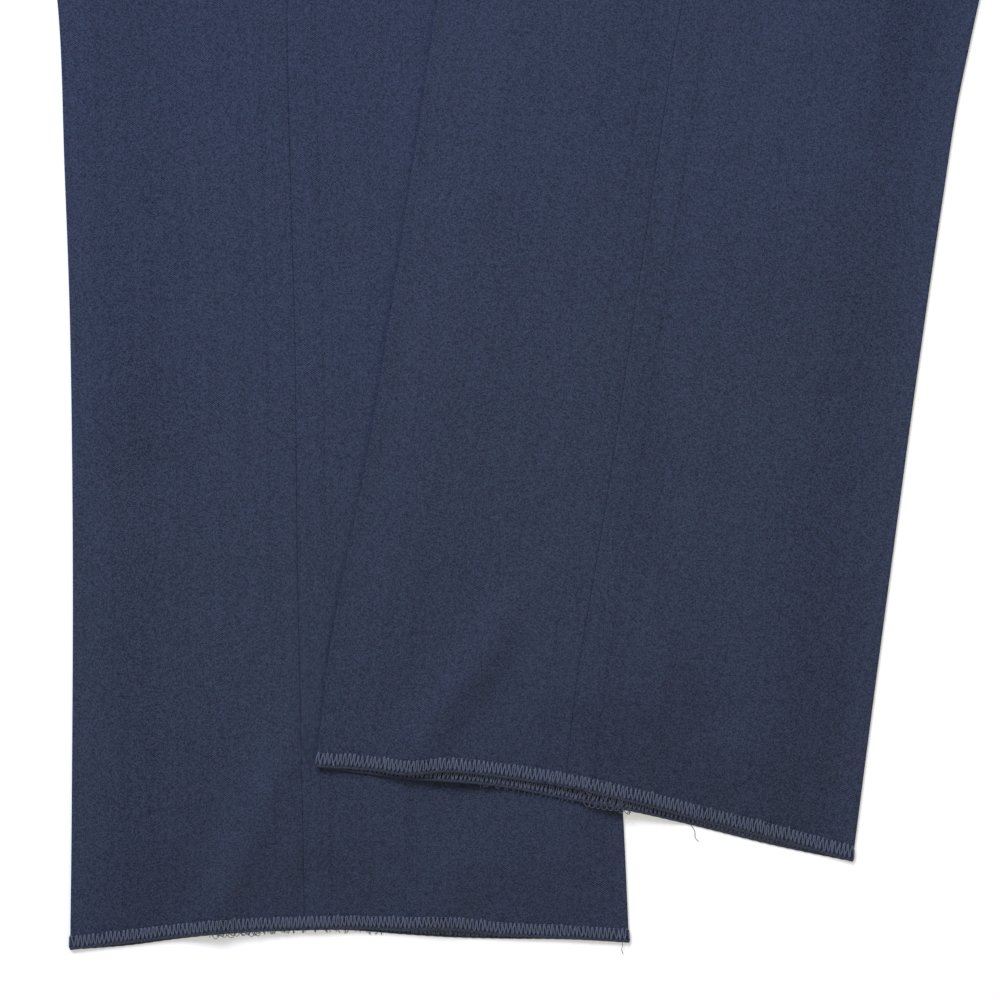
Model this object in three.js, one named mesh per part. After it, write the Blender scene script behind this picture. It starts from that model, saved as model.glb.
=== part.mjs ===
// Tapered dress trousers with unfinished, overlocked hems, laid flat and front up on a table.
// Below the knee each leg is folded on its pressed creases, and the left leg lies over the right one.
// Millimetres. +Y runs from the hems to the waist, +X to the wearer's left, +Z up from the table.
import * as THREE from "three";

// Driving sizes
const CLOTH = 1.0; // wall of the legs and seat
const BAND_CLOTH = 2.0; // wall of the interlined waistband
const LEG_DEPTH = 3.4; // outside height of a leg folded flat: two walls and the air between them
const SEAT_DEPTH = 4.4; // outside height of the two layers where they meet the waistband
const BAND_DEPTH = 5.4; // outside height of the flat waistband
const SEAM_GAP = 0.3; // between two pieces that are sewn together
const LAYER_GAP = 0.4; // air between the two legs where they cross
const ROUND_THE_MIDDLE = 1e-6; // past the middle line at the right, so on the under layer
const BAND_HEIGHT = 38;
const TAB_LENGTH = 25; // how far the left waistband runs past the fly line
const LEAN = THREE.MathUtils.degToRad(5); // of the seat's middle line, to the wearer's left
const FORK = new THREE.Vector2(52, 760); // where the two inseams meet, in the layout's own place
const RISE = 207; // from the fork to the foot of the waistband, along the middle line
const MIDDLE = new THREE.Vector2(50.25, 434.91); // middle of the whole outline in the layout's place

// Share of a folded leg's width from its crease to each seam
const CREASE_TO_INSEAM = 0.42;
const CREASE_TO_OUTSEAM = 0.455;

// Steps of the walls
const FOLD_STEPS = 4; // facets round a fold
const LEAST_STEP = 0.5; // between two columns of a wall
const HEM_REACH = 60; // how far up from the hem its waves fade out

// How the left leg comes down from the right one beside it
const SHELF = 6; // it stays level this far past the right leg's edge
const SLOPE = 30; // and lies on the table this much further on
const LIFT_FOOT = 722; // the lift on to the right leg is whole below this place
const LIFT_HEAD = 757; // and starts here, just below the fork

const CLOTH_LOOK = { color: 0x353c51, roughness: 0.86, metalness: 0 };
const BUTTON_LOOK = { color: 0x23283a, roughness: 0.35, metalness: 0 };

// A short table: one object for each row, with a value for each named column
function table(columns, rows) {
  return rows.map((row) => Object.fromEntries(columns.map((column, k) => [column, row[k]])));
}

// Lines across each leg from the hem up: where its two edges lie, and how far the section has turned
// round from lying on the creases, as a share of the width
const LINE_COLUMNS = ["height", "leftX", "leftY", "rightX", "rightY", "turn"];
const RIGHT_LEG = table(LINE_COLUMNS, [
  [0, -145.8, -152.9, 43.5, -150.4, 0],
  [45, -145.1, -108, 41.5, -105.4, 0],
  [130, -144.5, -23, 37, -20.5, 0],
  [210, -144.9, 57, 36, 59, 0],
  [265, -146.8, 112, 34.9, 115, 0],
  [321, -149.3, 168, 35.7, 171.5, 0],
  [450, -163.5, 293, 39.5, 299.5, 0.05],
  [580, -181, 421, 41, 431.5, 0.2],
  [700, -200, 539, 45.5, 552, 0.358],
  [768, -210.5, 606.5, 48.6, 621, 0.447],
  [780, -212.2, 618.5, 49.1, 633.5, 0.463],
  [850, -220.5, 690, 51.2, 707, 0.55],
  [900, -226, 741, 51.85, 760, 0.58],
]);
const LEFT_LEG = table(LINE_COLUMNS, [
  [0, -62.6, -90.4, 119.7, -122.9, 0],
  [40, -57.8, -47.6, 125, -77.3, 0],
  [100, -46.6, 11.2, 133.3, -17.8, 0],
  [160, -37.5, 70, 141.6, 42, 0],
  [220, -28.1, 130, 150.2, 102, 0],
  [262, -21.4, 170, 156.7, 142, 0],
  [340, -9, 246, 175, 215, 0],
  [450, 6.5, 352, 206, 315, 0.04],
  [580, 22.5, 476, 239, 430, 0.18],
  [720, 40, 622, 282, 566, 0.33],
  [790, 49.5, 690, 303, 629, 0.395],
  [825, 52.1, 726, 313.5, 661, 0.412],
  [860, 52.15, 760, 322, 693, 0.42],
]);

// Lines across the seat from the fork up: half the seat's width, how far the line's outer end hangs
// below its middle one, how far in from the side edge the side seam shows on the front, and the outside
// height of the two layers
const SEAT_COLUMNS = ["rise", "half", "drop", "sideSeam", "depth"];
const SEAT = table(SEAT_COLUMNS, [
  [12, 276.5, 36, 34.5, LEG_DEPTH],
  [40, 274.5, 28, 33.5, LEG_DEPTH],
  [90, 266, 10, 32, LEG_DEPTH],
  [140, 252, 2, 29, 3.7],
  [190, 234, 0, 23, 4.2],
  [RISE, 226.5, 0, 21, SEAT_DEPTH],
]);
const BAND = table(SEAT_COLUMNS, [
  [RISE + SEAM_GAP, 226.5, 0, 21, BAND_DEPTH],
  [RISE + BAND_HEIGHT / 2, 220, 0, 20, BAND_DEPTH],
  [RISE + BAND_HEIGHT, 214, 0, 20, BAND_DEPTH],
]);

// The hem's edge on the upper and the under layer: how far above the line between the two creases it
// runs at each share of the way across
const HEM_COLUMNS = ["across", "upper", "under"];
const RIGHT_HEM = table(HEM_COLUMNS, [
  [0, 0, 0],
  [0.1, 2.0, 0.9],
  [0.19, 3.8, 2.8],
  [0.28, 5.5, 4.7],
  [0.39, 6.0, 5.6],
  [0.5, 6.1, 5.1],
  [0.59, 5.4, 3.5],
  [0.68, 5.5, 2.1],
  [0.77, 3.1, 1.1],
  [0.89, 1.3, 0.5],
  [1, 0, 0],
]);
const LEFT_HEM = table(HEM_COLUMNS, [
  [0, 0, 0],
  [0.1, 2.0, 0.7],
  [0.17, 2.8, 1.3],
  [0.24, 6.2, 2.9],
  [0.34, 7.5, 4.3],
  [0.46, 7.9, 3.6],
  [0.58, 6.8, 3.4],
  [0.7, 4.7, 2.4],
  [0.85, 2.6, 0.7],
  [1, 0, 0],
]);

// How the upper layer stands up from the under one at the hem: its height, and its span across
const RIGHT_MOUTH = { height: 1.4, from: 0.15, to: 0.85 };
const LEFT_MOUTH = { height: 2.2, from: 0.12, to: 0.8 };

// Heights of the lines that the walls are built on
const RIGHT_HEIGHTS = [
  0, 12, 28, 45, 80, 130, 210, 265, 321, 380, 450, 515, 580, 640, 700, 740, 766, 770, 774, 778, 782, 815,
  850, 880, 900,
];
const LEFT_HEIGHTS = [
  0, 12, 28, 45, 80, 120, 160, 200, 240, 280, 320, 360, 400, 450, 500, 550, 600, 650, 700, 740, 775, 800,
  825, 845, 860,
];

// The value of a column at any place down a table, on a smooth curve through its rows
function valueAt(rows, key, column, place) {
  const last = rows.length - 1;
  let k = rows.findIndex((row) => row[key] > place) - 1;
  if (k < 0) k = place <= rows[0][key] ? 0 : last - 1;
  const slopeAt = (i) => {
    const before = rows[Math.max(i - 1, 0)];
    const after = rows[Math.min(i + 1, last)];
    return (after[column] - before[column]) / (after[key] - before[key]);
  };
  const span = rows[k + 1][key] - rows[k][key];
  const f = (place - rows[k][key]) / span;
  const bend = slopeAt(k) * span;
  const bendAfter = slopeAt(k + 1) * span;
  const rise = rows[k + 1][column] - rows[k][column];
  const square = 3 * rise - 2 * bend - bendAfter;
  const cube = bend + bendAfter - 2 * rise;
  return rows[k][column] + f * (bend + f * (square + f * cube));
}

// 0 before the start, 1 past the end, and a soft step between, whichever of the two is larger
function softStep(from, to, value) {
  const f = THREE.MathUtils.clamp((value - from) / (to - from), 0, 1);
  return f * f * (3 - 2 * f);
}

// A line across a leg or the seat: its two ends, its width and the outside height of its layers.
// inseam and outseam are places round the section, in widths from the left edge: 0 to 1 on the upper
// layer from left to right, 1 to 2 on the under layer from right to left. open is the side, if any,
// where the section doesn't close in a fold but ends at the garment's middle line.
function line(left, right, height, inseam, outseam, depth, cloth, open) {
  const width = left.distanceTo(right);
  const along = right.clone().sub(left).divideScalar(width);
  const up = new THREE.Vector2(-along.y, along.x);
  return { left, along, up, width, height, inseam, outseam, depth, cloth, open };
}

function legLines(rows, heights, mirrored) {
  return heights.map((height) => {
    const at = (column) => valueAt(rows, "height", column, height);
    const turn = at("turn");
    const inseam = mirrored ? turn - CREASE_TO_INSEAM : turn + CREASE_TO_INSEAM;
    const outseam = mirrored ? turn + CREASE_TO_OUTSEAM : turn - CREASE_TO_OUTSEAM;
    const left = new THREE.Vector2(at("leftX"), at("leftY"));
    const right = new THREE.Vector2(at("rightX"), at("rightY"));
    return line(left, right, height, inseam, outseam, LEG_DEPTH, CLOTH, null);
  });
}

function seatLines(rows, toLeft, cloth) {
  const up = new THREE.Vector2(Math.sin(LEAN), Math.cos(LEAN));
  const outward = new THREE.Vector2(Math.cos(LEAN), -Math.sin(LEAN)).multiplyScalar(toLeft ? 1 : -1);
  return rows.map(({ rise, half, drop, sideSeam, depth }) => {
    const middle = FORK.clone().addScaledVector(up, rise);
    const centre = middle.clone().addScaledVector(outward, SEAM_GAP / 2);
    const side = middle.clone().addScaledVector(outward, half).addScaledVector(up, -drop);
    const height = HEM_REACH + rise;
    const share = sideSeam / half;
    return toLeft
      ? line(centre, side, height, 0, 1 - share, depth, cloth, "left")
      : line(side, centre, height, 1, share, depth, cloth, "right");
  });
}

// The place of a point in a section: t runs round it as the seams' places do, in millimetres, and
// inset goes in from the outside of the wall. Returns the way across, the height and the layer.
function section(row, t, inset) {
  const { width, depth, open } = row;
  let place = t;
  if (place > 2 * width) place -= 2 * width;
  if (place < 0 && open !== "left") place += 2 * width;
  // An end that is right at the middle line may be rounded a hair past it, and is still on the upper layer
  const upper = place <= width + ROUND_THE_MIDDLE / 2;
  const across = upper ? place : 2 * width - place;
  const radius = depth / 2;
  const side = upper ? 1 : -1;
  const fromRight = width - across;
  if (across < radius && open !== "left") {
    const angle = ((across / radius) * Math.PI) / 2;
    const x = radius - (radius - inset) * Math.cos(angle);
    return { x, z: radius + side * (radius - inset) * Math.sin(angle), upper };
  }
  if (fromRight < radius && open !== "right") {
    const angle = ((fromRight / radius) * Math.PI) / 2;
    const x = width - radius + (radius - inset) * Math.cos(angle);
    return { x, z: radius + side * (radius - inset) * Math.sin(angle), upper };
  }
  return { x: across, z: radius + side * (radius - inset), upper };
}

// The columns of a panel from one seam to the other: even between the seams and the folds, with steps
// round each fold, and never closer than the least step
function columnPlaces(start, end, folds, radius, counts) {
  const within = (t) => THREE.MathUtils.clamp(t, start, end);
  const places = [start];
  const evenTo = (to, count) => {
    const from = places[places.length - 1];
    for (let step = 1; step <= count; step += 1) places.push(from + ((to - from) * step) / count);
  };
  folds.forEach((fold, k) => {
    evenTo(within(fold - radius), counts[k]);
    for (let step = 1; step <= FOLD_STEPS; step += 1) {
      places.push(within(fold - radius + (2 * radius * step) / FOLD_STEPS));
    }
  });
  evenTo(end, counts[folds.length]);
  const last = places.length - 1;
  for (let j = 1; j < last; j += 1) places[j] = Math.max(places[j], places[j - 1] + LEAST_STEP);
  for (let j = last - 1; j > 0; j -= 1) places[j] = Math.min(places[j], places[j + 1] - LEAST_STEP);
  return places;
}

// A closed wall from a grid of points on its outside and the matching grid on its inside
function wallGeometry(outside, inside) {
  const rows = outside.length;
  const columns = outside[0].length;
  const index = [];
  const out = (i, j) => i * columns + j;
  const inn = (i, j) => rows * columns + i * columns + j;
  const quad = (a, b, c, d) => index.push(a, b, c, a, c, d);
  for (let i = 0; i < rows - 1; i += 1) {
    for (let j = 0; j < columns - 1; j += 1) {
      quad(out(i, j), out(i, j + 1), out(i + 1, j + 1), out(i + 1, j));
      quad(inn(i, j), inn(i + 1, j), inn(i + 1, j + 1), inn(i, j + 1));
    }
    quad(out(i, 0), out(i + 1, 0), inn(i + 1, 0), inn(i, 0));
    quad(out(i, columns - 1), inn(i, columns - 1), inn(i + 1, columns - 1), out(i + 1, columns - 1));
  }
  for (let j = 0; j < columns - 1; j += 1) {
    quad(out(0, j), inn(0, j), inn(0, j + 1), out(0, j + 1));
    quad(out(rows - 1, j), out(rows - 1, j + 1), inn(rows - 1, j + 1), inn(rows - 1, j));
  }
  const positions = [...outside.flat(), ...inside.flat()].flatMap((point) => point.toArray());
  const geometry = new THREE.BufferGeometry();
  geometry.setAttribute("position", new THREE.Float32BufferAttribute(positions, 3));
  geometry.setIndex(index);
  geometry.computeVertexNormals();
  return geometry;
}

// From the way across a line and the height in the section to a point in the layout
function layOut(row, { x, z, upper }, side) {
  const share = THREE.MathUtils.clamp(x / row.width, 0, 1);
  const fade = softStep(HEM_REACH, 0, row.height);
  const climb = valueAt(side.hem, "across", upper ? "upper" : "under", share) * fade;
  const { height, from, to } = side.mouth;
  const swell = share > from && share < to ? Math.sin((Math.PI * (share - from)) / (to - from)) ** 2 : 0;
  const lift = upper ? height * swell * fade : 0;
  const flat = row.left.clone().addScaledVector(row.along, x).addScaledVector(row.up, climb);
  return new THREE.Vector3(flat.x, flat.y, z + lift + side.baseAt(flat));
}

// A panel of cloth. ends(row) gives where it starts and stops round the section and foldsOf(row) the
// folds that it may pass, in millimetres round it; counts are the even columns before, between and after.
function panel(name, rows, side, ends, foldsOf, counts) {
  const grid = (inset) =>
    rows.map((row) => {
      const [start, end] = ends(row);
      const places = columnPlaces(start, end, foldsOf(row), row.depth / 2, counts);
      return places.map((t) => layOut(row, section(row, t, inset), side));
    });
  const look = new THREE.MeshStandardMaterial(CLOTH_LOOK);
  const mesh = new THREE.Mesh(wallGeometry(grid(0), grid(rows[0].cloth)), look);
  mesh.name = name;
  return mesh;
}

const rightLegLines = legLines(RIGHT_LEG, RIGHT_HEIGHTS, false);
const leftLegLines = legLines(LEFT_LEG, LEFT_HEIGHTS, true);

// The right leg's inner edge, which the left leg crosses
const crossedEdge = rightLegLines.map((row) => row.left.clone().addScaledVector(row.along, row.width));

function crossedEdgeX(y) {
  const above = crossedEdge.findIndex((point) => point.y > y);
  const k = above < 1 ? crossedEdge.length - 1 : above;
  const [a, b] = [crossedEdge[k - 1], crossedEdge[k]];
  return a.x + ((b.x - a.x) * (y - a.y)) / (b.y - a.y);
}

// How high the left leg's under side lies: on the right leg, sloping down to the table beside it
function restHeight(flat) {
  const past = flat.x - crossedEdgeX(flat.y);
  const share = softStep(SHELF + SLOPE, SHELF, past) * softStep(LIFT_HEAD, LIFT_FOOT, flat.y);
  return (LEG_DEPTH + LAYER_GAP) * share;
}

const RIGHT_SIDE = { hem: RIGHT_HEM, mouth: RIGHT_MOUTH, baseAt: () => 0 };
const LEFT_SIDE = { hem: LEFT_HEM, mouth: LEFT_MOUTH, baseAt: restHeight };

const rightLines = [...rightLegLines, ...seatLines(SEAT, false, CLOTH)];
const leftLines = [...leftLegLines, ...seatLines(SEAT, true, CLOTH)];

// Where each panel starts and ends round a line's section: half the seam gap from its seams, and right
// at the garment's middle line where the section is open there
const seamInset = SEAM_GAP / 2;
const middleInset = (row) => (row.open ? 0 : seamInset);
const underInset = (row) => (row.open ? ROUND_THE_MIDDLE : seamInset);

const rightFront = panel(
  "right_front",
  rightLines,
  RIGHT_SIDE,
  (row) => [row.outseam * row.width + seamInset, row.inseam * row.width - middleInset(row)],
  () => [0],
  [3, 6],
);
const rightBack = panel(
  "right_back",
  rightLines,
  RIGHT_SIDE,
  (row) => [row.inseam * row.width + underInset(row), (2 + row.outseam) * row.width - seamInset],
  (row) => [row.width, 2 * row.width],
  [5, 6, 2],
);
const leftFront = panel(
  "left_front",
  leftLines,
  LEFT_SIDE,
  (row) => [row.inseam * row.width + middleInset(row), row.outseam * row.width - seamInset],
  () => [0],
  [7, 8],
);
const leftBack = panel(
  "left_back",
  leftLines,
  LEFT_SIDE,
  (row) => [row.outseam * row.width + seamInset, (2 + row.inseam) * row.width - middleInset(row)],
  (row) => [row.width],
  [8, 10],
);

// The waistband: each half runs from the middle of the back round the side to the fly. The left one
// runs past the fly line as a tab, and the right one stops short of it.
const waistbandRight = panel(
  "waistband_right",
  seatLines(BAND, false, BAND_CLOTH),
  RIGHT_SIDE,
  (row) => [row.width + ROUND_THE_MIDDLE, 3 * row.width - TAB_LENGTH - SEAM_GAP],
  (row) => [row.width, 2 * row.width],
  [1, 4, 4],
);
const waistbandLeft = panel(
  "waistband_left",
  seatLines(BAND, true, BAND_CLOTH),
  LEFT_SIDE,
  (row) => [-TAB_LENGTH, 2 * row.width],
  (row) => [row.width],
  [5, 5],
);

// The button: a moulded disc with four thread holes, sewn on the waistband's tab
const BUTTON = { radius: 8, depth: 2.6, bevel: 0.7, holeRadius: 0.9, holeReach: 2, fromTabEnd: 12 };

function buttonMesh() {
  const shape = new THREE.Shape().absarc(0, 0, BUTTON.radius - BUTTON.bevel, 0, 2 * Math.PI, false);
  for (let k = 0; k < 4; k += 1) {
    const angle = ((k + 0.5) * Math.PI) / 2;
    const x = BUTTON.holeReach * Math.cos(angle);
    const y = BUTTON.holeReach * Math.sin(angle);
    shape.holes.push(new THREE.Path().absarc(x, y, BUTTON.holeRadius, 0, 2 * Math.PI, true));
  }
  const geometry = new THREE.ExtrudeGeometry(shape, {
    depth: BUTTON.depth - 2 * BUTTON.bevel,
    bevelThickness: BUTTON.bevel,
    bevelSize: BUTTON.bevel,
    bevelSegments: 1,
    curveSegments: 8,
  });
  const mesh = new THREE.Mesh(geometry, new THREE.MeshStandardMaterial(BUTTON_LOOK));
  mesh.name = "button";
  const reach = RISE + BAND_HEIGHT / 2;
  const across = BUTTON.fromTabEnd - TAB_LENGTH;
  mesh.position.set(
    FORK.x + Math.sin(LEAN) * reach + Math.cos(LEAN) * across,
    FORK.y + Math.cos(LEAN) * reach - Math.sin(LEAN) * across,
    BAND_DEPTH + SEAM_GAP + BUTTON.bevel,
  );
  return mesh;
}

const trousers = new THREE.Group();
trousers.name = "tapered_trousers";
trousers.add(rightFront, rightBack, leftFront, leftBack, waistbandRight, waistbandLeft, buttonMesh());
trousers.position.set(-MIDDLE.x, -MIDDLE.y, 0);

export default trousers;
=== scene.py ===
"""Looks of the tapered trousers: thin cloth shells on the solids' form, pressed creases, seams, overlocked
raw hems, the waistband and its button, all laid flat on a pale table.

The garment's layout is in millimetres, with its own middle at MIDDLE: +Y runs from the hems to the waist,
+X to the wearer's left and +Z up from the table. to_row() turns it into the row frame, in metres.
"""
import math

import bpy
import numpy as np
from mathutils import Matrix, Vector

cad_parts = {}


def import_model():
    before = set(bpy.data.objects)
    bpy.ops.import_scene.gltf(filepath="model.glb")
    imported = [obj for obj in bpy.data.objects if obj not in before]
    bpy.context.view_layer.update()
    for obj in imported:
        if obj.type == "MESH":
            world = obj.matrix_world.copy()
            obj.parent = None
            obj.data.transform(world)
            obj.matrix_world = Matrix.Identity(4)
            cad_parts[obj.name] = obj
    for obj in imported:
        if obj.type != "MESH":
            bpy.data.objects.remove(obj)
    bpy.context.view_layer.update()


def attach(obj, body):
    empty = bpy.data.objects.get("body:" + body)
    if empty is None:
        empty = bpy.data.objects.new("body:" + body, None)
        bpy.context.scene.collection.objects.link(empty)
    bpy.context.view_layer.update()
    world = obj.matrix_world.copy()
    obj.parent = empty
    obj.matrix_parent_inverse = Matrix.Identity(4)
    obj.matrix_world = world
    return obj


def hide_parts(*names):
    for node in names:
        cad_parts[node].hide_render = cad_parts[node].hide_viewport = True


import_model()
RANDOM = np.random.default_rng(7)

# Driving sizes, in millimetres
MM = 0.001
MIDDLE = (50.25, 434.91)  # middle of the whole outline in the layout
CLOTH = 0.45  # thickness of the worsted
FOLD = 1.3  # outside height of a pressed crease
LEG_DEPTH = 3.3  # outside height of a folded leg away from its creases
FORK_DEPTH = 3.2  # outside height of the fold beside the fork
SEAT_DEPTH = 4.4  # outside height where the seat meets the waistband
BAND_DEPTH = 5.4
BAND_CLOTH = 2.0
BAND_HEIGHT = 38
TAB_LENGTH = 25
SEAM_GAP = 0.04  # between two sewn panels
MIDDLE_GAP = 0.01  # from each half to the garment's middle line
LAYER_GAP = 0.35  # air between the two legs where they cross
LEAN = math.radians(5)
FORK = np.array([52.0, 760.0])
RISE = 207
CREASE_TO_INSEAM = 0.42
CREASE_TO_OUTSEAM = 0.455


def table(columns, rows):
    """A short table as one array for each named column."""
    return dict(zip(columns, np.array(rows, float).T))


# Lines across each leg from the hem up. They follow the solids' ones, with edges moved by up to 1.6 mm to
# where the photo has them. Beside the fork the right leg reaches up to 6 mm further under the left one.
LINE_COLUMNS = ("height", "left_x", "left_y", "right_x", "right_y", "turn")
RIGHT_LEG = table(LINE_COLUMNS, [
    (0, -146.2, -152.9, 43.9, -150.4, 0),
    (45, -145.7, -108, 41.8, -105.4, 0),
    (130, -145.3, -23, 37, -20.5, 0),
    (210, -146.2, 57, 36, 59, 0),
    (265, -148.1, 112, 34.9, 115, 0),
    (321, -150.4, 168, 35.7, 171.5, 0),
    (450, -164.1, 293, 39.5, 299.5, 0.05),
    (580, -181, 421, 41, 431.5, 0.2),
    (700, -200, 539, 45.5, 552, 0.358),
    (768, -210.5, 606.5, 50.6, 621, 0.447),
    (780, -212.2, 618.5, 51.8, 633.5, 0.463),
    (850, -220.5, 690, 57.5, 707, 0.55),
    (868, -222.4, 708.4, 55.2, 726, 0.561),
    (880, -223.7, 720.8, 52.4, 738, 0.569),
    (886, -224.4, 726.7, 52.04, 745, 0.573),
    (893, -225.2, 734, 52.0, 752, 0.577),
    (900, -226, 741, 51.99, 760, 0.58),
])
LEFT_LEG = table(LINE_COLUMNS, [
    (0, -62.4, -90.4, 119.9, -122.9, 0),
    (40, -57.4, -47.6, 125.8, -77.3, 0),
    (100, -45.8, 11.2, 133.7, -17.8, 0),
    (160, -36.3, 70, 141.8, 42, 0),
    (220, -27.2, 130, 150.5, 102, 0),
    (262, -21.2, 170, 157, 142, 0),
    (340, -9, 246, 174.2, 215, 0),
    (450, 6.5, 352, 206, 315, 0.04),
    (580, 22.5, 476, 239, 430, 0.18),
    (720, 40, 622, 282, 566, 0.33),
    (790, 49.5, 690, 303, 629, 0.395),
    (825, 51.9, 726, 313.5, 661, 0.412),
    (860, 52.01, 760, 322, 693, 0.42),
])

# Lines across the seat from the fork up, as the solids have them but for 0.1 mm of depth
SEAT_COLUMNS = ("rise", "half", "drop", "side_seam", "depth")
SEAT = table(SEAT_COLUMNS, [
    (12, 276.5, 36, 34.5, LEG_DEPTH),
    (40, 274.5, 28, 33.5, LEG_DEPTH),
    (90, 266, 10, 32, LEG_DEPTH),
    (140, 252, 2, 29, 3.8),
    (190, 234, 0, 23, 4.2),
    (RISE, 226.5, 0, 21, SEAT_DEPTH),
])
BAND = table(SEAT_COLUMNS, [
    (RISE, 226.5, 0, 21, BAND_DEPTH),
    (RISE + BAND_HEIGHT / 2, 220, 0, 20, BAND_DEPTH),
    (RISE + BAND_HEIGHT, 214, 0, 20, BAND_DEPTH),
])

# How far above the line between the two creases the hem's edge runs, on each layer, and how far the upper
# layer stands up a little way above the hem and at its very edge
HEM_COLUMNS = ("across", "upper", "under", "puff", "mouth")
RIGHT_HEM = table(HEM_COLUMNS, [
    (0, 0, 0, 0, 0),
    (0.1, 2.0, 1.2, 1.7, 0.1),
    (0.19, 3.8, 3.2, 2.4, 0.3),
    (0.28, 5.2, 4.7, 0.5, 0.9),
    (0.39, 5.7, 5.5, 2.5, 1.2),
    (0.5, 5.9, 5.4, 1.9, 0.5),
    (0.59, 5.3, 3.9, 1.5, 0.6),
    (0.68, 5.1, 2.6, 0.8, 0.9),
    (0.77, 3.0, 1.9, 1.8, 0.4),
    (0.89, 1.6, 1.3, 2.4, 0.1),
    (1, 0, 0, 0, 0),
])
LEFT_HEM = table(HEM_COLUMNS, [
    (0, 0, 0, 0, 0),
    (0.1, 2.0, 0.7, 0.9, 0.1),
    (0.17, 2.8, 1.3, 0.5, 0.2),
    (0.24, 6.2, 2.9, 0.6, 0.9),
    (0.34, 7.5, 4.3, 2.0, 0.7),
    (0.46, 7.9, 4.0, 4.0, 0.9),
    (0.58, 6.8, 3.8, 3.6, 0.8),
    (0.7, 4.7, 2.6, 0.32, 0.4),
    (0.85, 2.6, 0.8, 1.8, 0.2),
    (1, 0, 0, 0, 0),
])
HEM_REACH = 60  # how far up from the hem its waves fade out
HEM_PRESS = 1.9  # how much flatter a leg lies at its hem
HEM_PRESS_REACH = 90  # how far up from the hem that goes
BAND_FOLD = 4.6  # outside height of the waistband's folds
UNPRESSED = 0.9  # how much higher the front crease stands where it is no longer pressed, up the thigh
UNPRESSED_REACH = (380, 800)
FORK_REACH = (90, 8)  # below the fork, where the fold grows from FOLD to FORK_DEPTH
# How far in from the left and the right edge of each leg it rises to its full depth
LEFT_LEG_REACH = (26, 40)
RIGHT_LEG_REACH = (40, 14)
NO_FOLD = 99  # a distance to a fold or a seam that isn't there

# Soft ridges (height above 0) and troughs (below 0) pressed into the upper layer: the two ends of each
# one's middle line in the layout, its half width and its height
CREASE_COLUMNS = ("x0", "y0", "x1", "y1", "half_width", "height")
RIGHT_CREASES = table(CREASE_COLUMNS, [
    (-66, -66, -100, -150, 7, 3.0),
    (-12, -108, -22, -146, 8, 1.8),
    (-119, 22, -121, 2, 10, -0.9),
    (-62, -112, -72, -148, 6, -0.8),
    (-172, 405, -50, 470, 10, 1.6),
    (-186, 520, -70, 548, 11, 2.0),
    (-120, 610, 30, 560, 10, 1.4),
    (-212, 690, -110, 702, 12, 2.2),
    (-150, 775, 30, 742, 13, 2.7),
    (-110, 838, 40, 780, 10, 2.1),
    (-195, 905, -80, 880, 12, 1.7),
])
LEFT_CREASES = table(CREASE_COLUMNS, [
    (20, -14, -33, -92, 7, 3.0),
    (46, -28, 71, -100, 7, 3.2),
    (60, -26, 88, -98, 15, 1.6),
    (6, -56, -2, -72, 6, -0.7),
    (72, -60, 80, -78, 7, -0.6),
    (116, 44, 114, 26, 11, -0.9),
    (-30, 14, -34, -12, 8, 0.5),
    (34, 318, 165, 284, 10, 1.9),
    (60, 398, 205, 352, 12, 2.8),
    (40, 452, 150, 440, 9, 1.6),
    (78, 520, 222, 462, 12, 2.6),
    (66, 610, 262, 548, 13, 3.2),
    (110, 668, 286, 640, 11, 2.2),
    (70, 742, 262, 700, 13, 2.9),
    (74, 800, 200, 838, 10, 2.2),
    (130, 900, 250, 872, 12, 1.6),
])

# The left leg comes down beside the right one in an arc of this radius, over this reach
DRAPE_RADIUS = 150
DRAPE_REACH = 44
# Up the layout between these two places it comes down on to the table, where the legs meet at the fork
LIFT_FOOT = 738
LIFT_HEAD = 758
# Where the left hem stands off the right leg: middle in the layout, half widths along and up, height
HEM_LIFT = (-17, -97, 15, 18, 2.4)


def value_at(rows, key, column, place):
    """The value of a column at any place down a table, on a smooth curve through its rows."""
    keys, values = rows[key], rows[column]
    last = len(keys) - 1
    k = np.clip(np.searchsorted(keys, place, side="right") - 1, 0, last - 1)
    before, after = np.maximum(np.arange(last + 1) - 1, 0), np.minimum(np.arange(last + 1) + 1, last)
    slope = (values[after] - values[before]) / (keys[after] - keys[before])
    span = keys[k + 1] - keys[k]
    f = (place - keys[k]) / span
    bend, bend_after = slope[k] * span, slope[k + 1] * span
    rise = values[k + 1] - values[k]
    square = 3 * rise - 2 * bend - bend_after
    cube = bend + bend_after - 2 * rise
    return values[k] + f * (bend + f * (square + f * cube))


def soft_step(start, end, value):
    """0 before the start, 1 past the end, and a soft step between, whichever is larger."""
    f = np.clip((value - start) / (end - start), 0, 1)
    return f * f * (3 - 2 * f)


def unit(vectors):
    return vectors / np.linalg.norm(vectors, axis=-1, keepdims=True)


def to_row(points):
    """Layout millimetres to row metres."""
    return (np.asarray(points, float) - np.array([*MIDDLE, 0])) * MM


UP = np.array([math.sin(LEAN), math.cos(LEAN)])  # along the seat's middle line
ACROSS = np.array([math.cos(LEAN), -math.sin(LEAN)])


def crease_height(creases, flat):
    """The sum of a table's ridges and troughs at points of the layout."""
    total = np.zeros(flat.shape[:-1])
    for x0, y0, x1, y1, half_width, height in zip(*(creases[column] for column in CREASE_COLUMNS)):
        start, way = np.array([x0, y0]), np.array([x1 - x0, y1 - y0])
        along = np.clip(((flat - start) @ way) / (way @ way), 0, 1)
        away = np.linalg.norm(flat - start - along[..., None] * way, axis=-1)
        taper = soft_step(0, 0.55, along) * soft_step(1.2, 0.8, along)
        total += height * np.exp(-((away / half_width) ** 2)) * taper
    return total


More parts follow.
